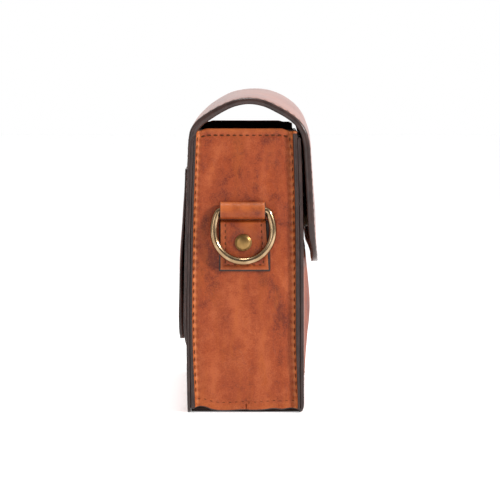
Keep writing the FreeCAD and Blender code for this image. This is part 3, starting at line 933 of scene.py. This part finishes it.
def flap_thickness(s):
    """One layer down the back, skived at its foot, then two over the top, fullest at the root."""
    skived = 0.8
    doubled = ease((s - PANEL_TOP_RUN + 1.5) / 3)
    root = groove(s - PANEL_TOP_RUN - 22, 16)
    return skived + (LAYER - skived) * ease(s / 7) + (FLAP - LAYER + 0.8 * root) * doubled


def flap_grid():
    """The whole flap's outer face: points, their x and s, and how far each is from its edges."""
    edge, middle = 1 / FLAP_HALF, 2.8 / FLAP_HALF
    s, share = over(FLAP_RUN, steps(-1, 1, middle, edge, [-1 + 4 * edge, 1 - 4 * edge], 5 * edge))
    x = share * flap_half(s)
    points = flap_surface(x, s)
    inside = np.minimum(flap_half(s) - np.abs(x), FLAP_TIP_RUN - s)
    dip = 0.3 * groove(inside - SEAM_INSET)
    dip = dip - (0.35 * swell(x, s, 70, 61) + 0.12 * swell(x, s, 22, 62)) * ease(inside / 25)
    return points + normals_of(points) * dip[..., None], x, s, inside


def add_flap():
    points, x, s, inside = flap_grid()
    normal, thickness = normals_of(points), flap_thickness(s)
    hide, wear = points_of(x + 3100, s, 0), 0.45 * groove(inside, 4)
    finger = 0.6 + 0.4 * ease((s - (FLAP_TIP_RUN - 25)) / 20)
    for name, (low, high, *_) in STRETCHES.items():
        kept = (FLAP_RUN > low - 0.01) & (FLAP_RUN < high + 0.01)
        sheet = slab("flap_leather_" + name, points[kept], thickness[kept],
                     [WAXED_LEATHER, UNDERSIDE, EDGE], -1, finger[kept], hide[kept], wear[kept],
                     joined=(name != "rear", name != "front"), normal=normal[kept])
        bend(sheet, name)
        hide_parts(*FLAP_NODES[name])
        add_flap_threads(name, FLAP_RUN[kept])


def add_flap_threads(name, marks):
    """Stitches along the flap's two sides, and along its front edge."""
    foot = FLAP_TIP_RUN - SEAM_INSET
    marks = marks[marks < foot]
    routes = [points_of(side * (flap_half(marks) - SEAM_INSET), marks) for side in (-1, 1)]
    if name == "front":
        half = flap_half(foot) - SEAM_INSET
        routes.append(points_of(np.linspace(-half, half, 200), foot))
    for number, route in enumerate(routes):
        thread = seam(f"flap_thread_{name}_{number}", flap_surface, route, slant=0.2,
                      radius=0.24, rise=0.22, sink=0.3)
        bend(thread, name)


# ======================= pockets =======================

def layer_y(x, z):
    """y of the leather sewn down the back, at this height."""
    low = FLAP_RUN < PANEL_TOP_RUN + 1
    return flap_surface(x, np.interp(z, EDGE_LINE[low, 1], FLAP_RUN[low]))[..., 1]


def add_rear_pocket():
    """A patch that stands off the layer, a little at its sewn edges and more in the middle."""
    half, low, high = REAR_POCKET[1][0], REAR_POCKET[0][2], REAR_POCKET[1][2]

    @facing(-1)
    def surface(x, z):
        up = np.clip((z - low) / (high - low), 0, 1)
        inside = np.minimum(half - np.abs(x), z - low)
        edge = 3.6 - 2.1 * ease((up - 0.3) / 0.65)
        middle = 1.2 * np.sin(np.pi * up**0.7) * ease(inside / 90)
        rise = edge + middle - SEAM_DIP * groove(inside - SEAM_INSET)
        rise = rise + 0.3 * swell(x, z, 50, 41) * ease(inside / 20) * ease((1 - up) / 0.2)
        point = stand(points_of(x, FACE, z), BACK_BELLY)
        point[..., 1] = layer_y(x, z) + rise
        return point

    add_plate("rear_pocket", surface, (half, low, high, 10.0),
              lambda x, z, inside: 1.5 + 1.7 * ease((110 - z) / 50), 1500)


def add_front_pocket():
    """A soft patch with its edges turned under, full low down and flat at its mouth."""
    half, low, high = FRONT_POCKET[1][0], FRONT_POCKET[0][2], FRONT_POCKET[1][2]

    @facing(1)
    def surface(x, z):
        up = np.clip((z - low) / (high - low), 0, 1)
        inside = np.minimum(half - np.abs(x), z - low)
        full = np.sin(np.pi * up**0.62) ** 0.8
        rise = 0.3 + 4.4 * full * ease(inside / 60) - SEAM_DIP * groove(inside - SEAM_INSET)
        rise = rise + 0.35 * swell(x, z, 45, 51) * ease(inside / 20)
        point = stand(points_of(x, -FACE, z), FRONT_BELLY)
        point[..., 1] -= rise
        return point

    # The pocket takes the darker copy of the tan leather: painted shade.
    add_plate("front_pocket", surface, (half, low, high, 14.0),
              lambda x, z, inside: 0.65 + 0.6 * ease((inside - 2) / 12), 2300,
              materials=[SHADED_POCKET_LEATHER, RAW_BACK, LEATHER])


# ======================= tab, ring and rivets =======================

RING_Y = (TAB_LOW[1] + TAB_HIGH[1]) / 2 - MIDDLE_Y
JOINT = {joint["name"]: joint for joint in frame["joints"]}
BAR = np.array(JOINT["ring_right_swing"]["pos_m"]) / MM - np.array([0, MIDDLE_Y, 0])
LOOP_WIDE = 5.0              # from the bar's axis to the loop's outer face
LOOP_TALL = 6.3              # and to its top
LOOP_HALF = 16.1             # half the loop's width along the bar
LOOP_MIDDLE = RING_Y + 0.5
TAB_SKIN = 1.8
TAB_FACE = SIDE + 2 * TAB_SKIN
TAB_FRONT, TAB_BACK = -16.4, 18.5                 # y of the sewn end's edges
TAB_TAPER = 2.3              # how much further back its front edge is at the crease
TAB_SEAM = 3.4               # from its edges to its stitches
CREASE_Z = BAR[2] - LOOP_TALL - 1.2
RIVET = np.array([TAB_FACE, (CAP_LOW[1] + CAP_HIGH[1]) / 2 - MIDDLE_Y, (CAP_LOW[2] + CAP_HIGH[2]) / 2])


def tab_line():
    """Section of the tab's outer face, as (x, z): up the sewn end, out round the bar and down."""
    points = [(TAB_FACE, z) for z in np.arange(TAB_LOW[2], CREASE_Z - 1, 1.0)]
    for back, up in ((0.5, -0.3), (1.6, 0.2), (1.7, 0.9)):
        points.append((TAB_FACE - back, CREASE_Z + up))
    for turn in np.radians(np.arange(-118, 176, 6)):
        points.append((BAR[0] + LOOP_WIDE * math.cos(turn), BAR[2] + LOOP_TALL * math.sin(turn)))
    return np.array(points + [(SIDE + 0.15, BAR[2] - 2), (SIDE + TAB_SKIN, CREASE_Z + 1)])


TAB_LINE = tab_line()
TAB_RUN = run_of(TAB_LINE)
CREASE = TAB_RUN[np.argmin(np.abs(TAB_LINE[:, 1] - CREASE_Z))]


@facing(1)
def tab_surface(a, b):
    """a across the tab from -1 at its front edge to 1 at its rear edge, b up it."""
    x, z = (np.interp(b, TAB_RUN, TAB_LINE[:, k]) for k in range(2))
    on_loop = ease((b - CREASE + 1) / 2.5)
    flat = 1 - on_loop
    front = (TAB_FRONT + TAB_TAPER * np.clip(b / CREASE, 0, 1)) * flat
    front = front + (LOOP_MIDDLE - LOOP_HALF) * on_loop
    back = TAB_BACK * flat + (LOOP_MIDDLE + LOOP_HALF) * on_loop
    y = front + (back - front) * (a + 1) / 2
    inside = np.minimum(np.minimum(y - front, back - y), b)
    from_rivet = np.hypot(y - RIVET[1], z - RIVET[2])
    dip = 0.4 * groove(inside - TAB_SEAM) + 0.55 * np.exp(-(from_rivet / 9.5) ** 4)
    return points_of(x - dip * flat + 0.16 * swell(y, z, 12, 71), y, z)


def under_grid():
    """The strap's hidden end, which lies flat on the gusset under the visible one."""
    z, y = over(np.linspace(TAB_LOW[2] - 0.9, CREASE_Z - 0.3, 20),
                np.linspace(TAB_FRONT - 0.8, TAB_BACK + 0.8, 24))
    return points_of(SIDE + TAB_SKIN - 0.05, y, z)


def tab_seams():
    """The routes of a tab's three rows of stitches."""
    side = 1 - 2 * TAB_SEAM / (TAB_BACK - TAB_FRONT - 1.4)
    heights = np.arange(TAB_SEAM, CREASE - 2, 1.0)
    return {"front": points_of(-side, heights), "back": points_of(side, heights),
            "foot": points_of(np.linspace(-side, side, 30), TAB_SEAM)}


def add_tabs():
    b, a = over(steps(0, TAB_RUN[-1], 0.7, 0.4, [TAB_SEAM, CREASE], 3), np.linspace(-1, 1, 64))
    points = tab_surface(a, b)
    y, z = points[..., 1], points[..., 2]
    inside = np.minimum(y - y.min(axis=1, keepdims=True), y.max(axis=1, keepdims=True) - y)
    # Lighter at the edges from wear, and over the top of the loop as a painted highlight.
    wear = 0.45 * groove(np.minimum(inside, b), 1.8)
    wear = wear + 0.55 * ease((b - CREASE) / 3) * ease((z - BAR[2] + 3) / 7)
    for end, sign in ENDS.items():
        strap = slab("ring_tab_leather_" + end, points, TAB_SKIN, [TAB_LEATHER, RAW_BACK, EDGE],
                     hide=points_of(y + 90 * sign, b, 7), wear=wear, mirrored=sign < 0)
        keep([strap], "bag", "leather", "ring_tab_" + end)
        # The under end's face takes the dark edge paint and shows as a rim round the tab: the painted
        # edge, and painted shade under the tab's edges.
        under = slab("ring_tab_under_" + end, under_grid(), TAB_SKIN - 0.1, [EDGE, RAW_BACK, EDGE],
                     mirrored=sign < 0)
        keep([under], "bag", "leather")
        for row, route in tab_seams().items():
            keep([seam(f"tab_{row}_thread_{end}", tab_surface, route, 4.4, 0.68, 0.12, radius=0.45,
                       mirrored=sign < 0)], "bag", "leather")


def cap_profile():
    """A domed cap's rim and dome from the leather outwards, as (x from the leather, radius)."""
    radius, tall = (CAP_HIGH[2] - CAP_LOW[2]) / 2, CAP_HIGH[0] - CAP_LOW[0]
    rim = [(-0.6, 0.9), (-0.3, 0.25), (0.1, 0), (0.5, 0.12), (0.72, 0.45), (0.78, 0.85)]
    profile = [(x, radius - less) for x, less in rim]
    for turn in np.linspace(0.84, 0.0, 12) * math.pi / 2:
        share = math.sin(turn) / math.sin(0.84 * math.pi / 2)
        profile.append((0.8 + (tall - 0.8) * math.cos(turn), max((radius - 0.95) * share, 0.02)))
    return np.array(profile)


def add_rivets():
    """Round caps about a line along x, closed at both ends."""
    sides = 64
    profile, turn = cap_profile(), np.linspace(0, 2 * math.pi, sides, endpoint=False)
    x, radius = profile[:, :1], profile[:, 1:]
    points = RIVET + points_of(x, radius * np.cos(turn), radius * np.sin(turn))
    ring = np.arange(sides)
    faces = []
    for k in range(len(profile) - 1):
        faces += band_faces(k * sides + ring, (k + 1) * sides + ring).tolist()
    faces += [ring[::-1].tolist(), ((len(profile) - 1) * sides + ring).tolist()]
    for end, sign in ENDS.items():
        cap = build("rivet_cap_brass_" + end, points, faces, [CAP_BRASS], mirrored=sign < 0)
        keep([cap], "bag", "antique_brass", "rivet_cap_" + end)


RING_WIRE = 2.7              # radius of the wire
RING_LEAN = math.radians(3.4)
RING_LOW = 21.6              # radius of the ring's lower half
RING_ARM = 31.0              # and of its arms
RING_BEND = 3.4              # and of the bends at the bar's ends
RING_DROP = 14.6             # from the bar to the ring's widest line
RING_SAG = 0.8               # how much lower than round its lower half hangs


def arc(middle, radius, start, end, count):
    """Points on an arc from one angle to another, in degrees."""
    turn = np.radians(np.linspace(start, end, count))
    return np.array(middle) + radius * points_of(np.cos(turn), np.sin(turn))


def ring_line():
    """The ring's centre line about the middle of its bar: y along the bar and z up, closed."""
    arm_middle = np.array([RING_LOW - RING_ARM, -RING_DROP])
    reach = math.sqrt((RING_ARM - RING_BEND) ** 2 - (RING_DROP - RING_BEND) ** 2)
    bend_middle = np.array([arm_middle[0] + reach, -RING_BEND])
    meeting = math.degrees(math.atan2(*(bend_middle - arm_middle)[::-1]))
    corner = arc(bend_middle, RING_BEND, 90, meeting, 9)[:-1]
    arm = arc(arm_middle, RING_ARM, meeting, 0, 14)[:-1]
    low = arc((0, 0), RING_LOW, 0, -90, 30) * [1, (RING_LOW + RING_SAG) / RING_LOW] - [0, RING_DROP]
    side = np.concatenate([corner, arm, low[:-1]])
    bar = points_of(np.linspace(-corner[0, 0], corner[0, 0], 26)[1:-1], 0.0)
    return np.concatenate([bar, side, low[-1:], side[::-1] * [-1, 1]])


def add_rings():
    line = ring_line()
    along = np.roll(line, -1, axis=0) - np.roll(line, 1, axis=0)
    along = along / np.linalg.norm(along, axis=1, keepdims=True)
    sides = 28
    turn = np.linspace(0, 2 * math.pi, sides, endpoint=False)
    y = line[:, :1] + RING_WIRE * np.cos(turn) * along[:, 1:]
    z = line[:, 1:] - RING_WIRE * np.cos(turn) * along[:, :1]
    out = RING_WIRE * np.sin(turn)
    points = BAR + points_of(out * math.cos(RING_LEAN) - z * math.sin(RING_LEAN), y,
                             out * math.sin(RING_LEAN) + z * math.cos(RING_LEAN))
    ring = np.arange(sides)
    faces = []
    for k in range(len(line)):
        faces += band_faces(k * sides + ring, (k + 1) % len(line) * sides + ring).tolist()
    for end, sign in ENDS.items():
        wire = build("d_ring_brass_" + end, points, faces, [BRASS], mirrored=sign < 0)
        turn_faces_out(wire)
        keep([wire], "ring_" + end, "antique_brass", "d_ring_" + end)


def turn_faces_out(thing):
    """Turns every face of a closed piece outwards."""
    work = bmesh.new()
    work.from_mesh(thing.data)
    bmesh.ops.recalc_face_normals(work, faces=work.faces)
    work.to_mesh(thing.data)
    work.free()


def dress(node, material):
    """A CAD node keeps its shape and takes a finished material."""
    thing = frame["nodes"][node]
    thing.data.materials.clear()
    thing.data.materials.append(material)


def dress_hidden_parts():
    for end in ENDS:
        # Snaps and rivet posts take the darkened brass: painted shade in the gap under the flap.
        for node in ("rivet_post_", "snap_socket_", "snap_stud_"):
            dress(node + end, SHADED_SNAP_BRASS)
        dress("snap_magnet_" + end, MAGNET)
    dress("base_board", BOARD)


# ======================= put together =======================

add_front_panel()
add_back_panel()
add_linings()
add_side_gussets()
add_bottom_gusset()
add_rear_pocket()
add_front_pocket()
add_flap()
add_tabs()
add_rings()
add_rivets()
dress_hidden_parts()


# ======================= stage, light and camera =======================

def aim(thing, place, target):
    """Puts a lamp or a camera in place and turns it to its target."""
    thing.location = place
    thing.rotation_euler = (Vector(target) - Vector(place)).to_track_quat("-Z", "Y").to_euler()
    bpy.context.scene.collection.objects.link(thing)


def add_light(name, place, target, size, power):
    light = bpy.data.lights.new(name, "AREA")
    light.shape = "DISK"
    light.size = size
    light.energy = power
    aim(bpy.data.objects.new(name, light), place, target)


def add_stage():
    """A white floor that glows a little, so that its far side is as white as the sky."""
    bpy.ops.mesh.primitive_circle_add(vertices=96, radius=12, fill_type="NGON")
    floor = bpy.context.object
    floor.name = "studio_floor"
    make = shader("pale_floor", 0.9, Base_Color=(0.9, 0.9, 0.9), Emission_Color=(1, 1, 1),
                  Emission_Strength=0.31)
    floor.data.materials.append(make.owner)


def add_world():
    """White all round, dimmer on the side that the camera looks from."""
    make = Shader(bpy.data.worlds.new("studio"), "Background", {"Color": (1, 1, 1)})
    place = make.node("TexCoord", {})["Generated"]
    x = make.node("SeparateXYZ", {0: place})[0]
    strength = make.node("MapRange", {"Value": x, "From Min": -0.9, "From Max": 0.3, "To Min": 0.2,
                                      "To Max": 1.0}, interpolation_type="SMOOTHSTEP")
    make.put(strength["Result"], make.main["Strength"])
    bpy.context.scene.world = make.owner


def add_camera():
    """A long lens that looks at the left end of the bag, from a little above it."""
    camera = bpy.data.cameras.new("camera")
    camera.lens = 327
    camera.sensor_width = 36
    camera.clip_start = 0.1
    camera.clip_end = 100
    thing = bpy.data.objects.new("camera", camera)
    near_side = -HALF * MM
    eye = (near_side - 3.3, (MIDDLE_Y - 6.6) * MM, 0.257)
    aim(thing, eye, (near_side, (MIDDLE_Y - 2.9) * MM, 0.1187))
    bpy.context.scene.camera = thing


add_stage()
add_world()
add_light("key_light", (-1.5, -1.8, 1.2), (-0.2, 0, 0.12), 0.34, 58)
add_light("top_light", (-0.45, 0.1, 2.2), (0, 0, 0.15), 0.7, 20)
add_light("fill_light", (-2.4, 1.2, 0.5), (-0.2, 0, 0.1), 1.0, 7)
add_camera()
bpy.context.scene.view_settings.view_transform = "Standard"
